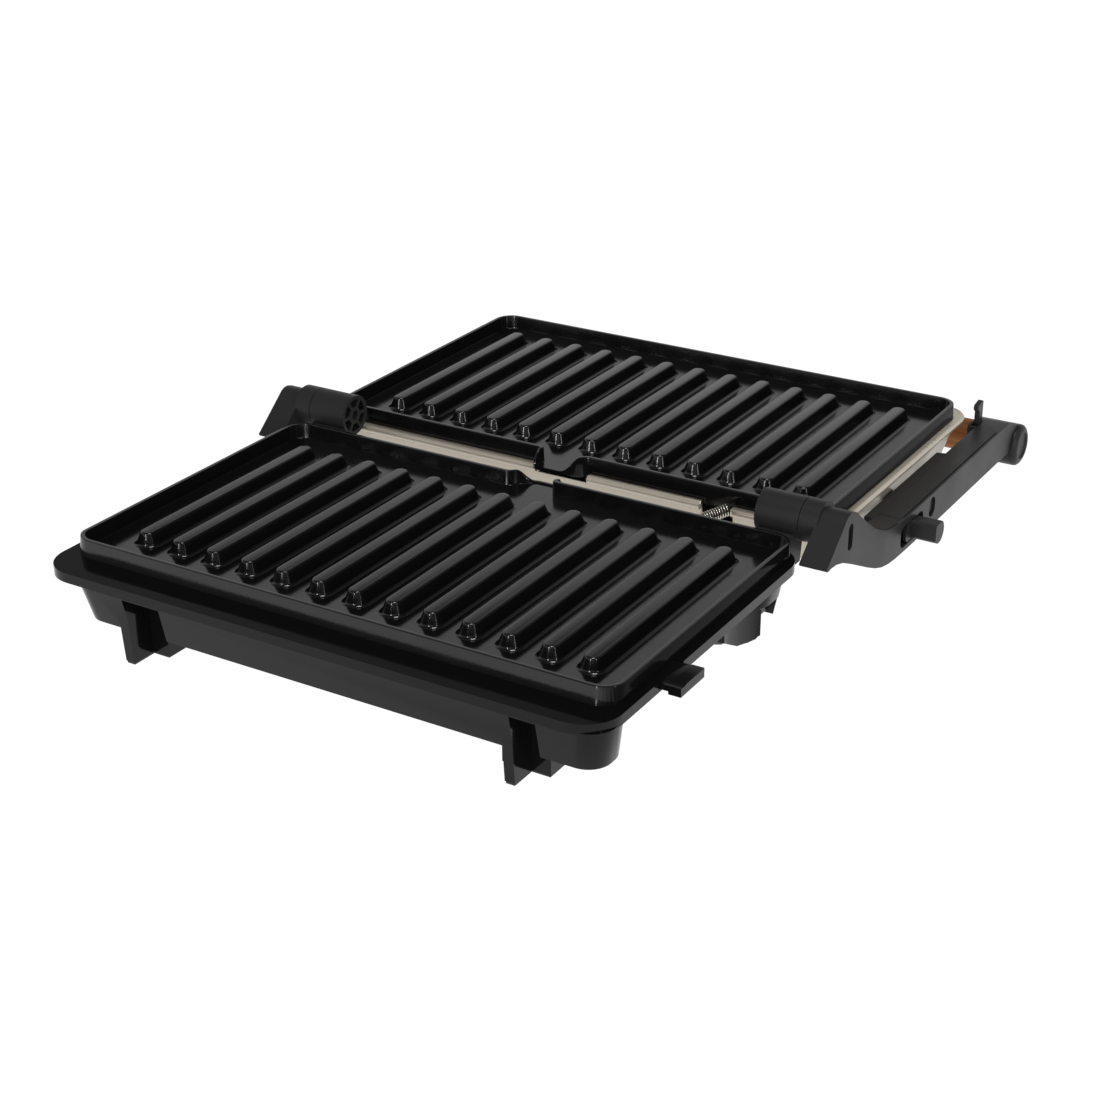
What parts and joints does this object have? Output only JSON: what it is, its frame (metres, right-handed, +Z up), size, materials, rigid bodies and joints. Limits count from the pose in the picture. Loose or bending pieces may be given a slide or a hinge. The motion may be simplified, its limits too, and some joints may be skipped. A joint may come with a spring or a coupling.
{
  "type": "contact grill",
  "caption": "Contact grill opened flat: black base with ribbed plate, floating metal lid with ribbed plate on two hinged arms, wooden handle, drip tray.",
  "frame": {"origin": "middle of the footprint, on the table that the feet and the handle ends rest on", "axes": "+X along the hinge to the right side seen from the front, +Y from the base to the handle, +Z up"},
  "size_m": [0.273, 0.3594, 0.0496],
  "materials": {
    "gloss_black": "glossy moulded",
    "matte_black": "matte moulded",
    "hinge_black": "satin moulded",
    "rubber": "matte",
    "nonstick": "glossy non-stick coating on cast aluminium",
    "element_steel": "dull",
    "sheet_metal": "satin",
    "ceramic": "matte",
    "screw_steel": "zinc plated",
    "wood": "oiled",
    "champagne_metal": "satin champagne metallic",
    "lens_red": "clear red",
    "spring_wire": "bright wire"
  },
  "bodies": {
    "base": {"base_housing": "gloss_black", "base_bottom_cover": "matte_black", "front_foot_pads": "rubber", "rear_feet": "rubber", "lower_grill_plate": "nonstick", "lower_heating_element": "element_steel", "lower_reflector": "sheet_metal", "thermostat": "ceramic", "thermal_fuse": "sheet_metal", "terminal_block": "ceramic", "cord_gland": "matte_black", "grease_chute": "matte_black", "hinge_knuckle_left": "hinge_black", "hinge_knuckle_right": "hinge_black", "base_screws": "screw_steel", "hinge_screws": "screw_steel"},
    "catch": {"plate_catch": "gloss_black", "catch_spring": "element_steel"},
    "tray": {"drip_tray": "gloss_black"},
    "pivot": {"hinge_pin_left": "screw_steel", "hinge_pin_right": "screw_steel"},
    "yoke": {"arm_left": "hinge_black", "arm_right": "hinge_black", "arm_cover_left": "hinge_black", "arm_cover_right": "hinge_black", "handle_grip": "wood", "handle_rod": "screw_steel", "handle_cap_left": "hinge_black", "handle_cap_right": "hinge_black", "arm_screws": "screw_steel"},
    "lock": {"lock_slider": "hinge_black"},
    "latch": {"latch_hook": "hinge_black"},
    "lid": {"lid_cover": "champagne_metal", "upper_grill_plate": "nonstick", "upper_heating_element": "element_steel", "upper_reflector": "sheet_metal", "lid_pivot_left": "screw_steel", "lid_pivot_right": "screw_steel", "lid_screws": "screw_steel", "indicator_lenses": "lens_red", "wire_conduit_spring": "spring_wire"}
  },
  "joints": [
    {"name": "main_hinge", "type": "hinge", "parent": "base", "child": "pivot", "pos_m": [-0.00405, -0.01605, 0.0411], "axis": [1, 0, 0], "range_deg": [0, 180], "deforming": ["wire_conduit_spring"]},
    {"name": "hinge_float", "type": "slide", "parent": "pivot", "child": "yoke", "axis": [0, 0, 1], "range_m": [0, 0.003]},
    {"name": "lid_tilt", "type": "hinge", "parent": "yoke", "child": "lid", "pos_m": [-0.00405, 0.06795, 0.0181], "axis": [1, 0, 0], "range_deg": [-5, 0]},
    {"name": "lock_slide", "type": "slide", "parent": "yoke", "child": "lock", "axis": [0, -1, 0], "range_m": [-0.004, 0.004]},
    {"name": "latch_pivot", "type": "hinge", "parent": "yoke", "child": "latch", "pos_m": [-0.00405, 0.15295, 0.0159], "axis": [1, 0, 0], "range_deg": [0, 12]},
    {"name": "tray_slide", "type": "slide", "parent": "base", "child": "tray", "axis": [1, 0, 0], "range_m": [0, 0.12]},
    {"name": "catch_push", "type": "slide", "parent": "base", "child": "catch", "axis": [-1, 0, 0], "range_m": [0, 0.003], "stiffness_N_per_m": 300}
  ]
}
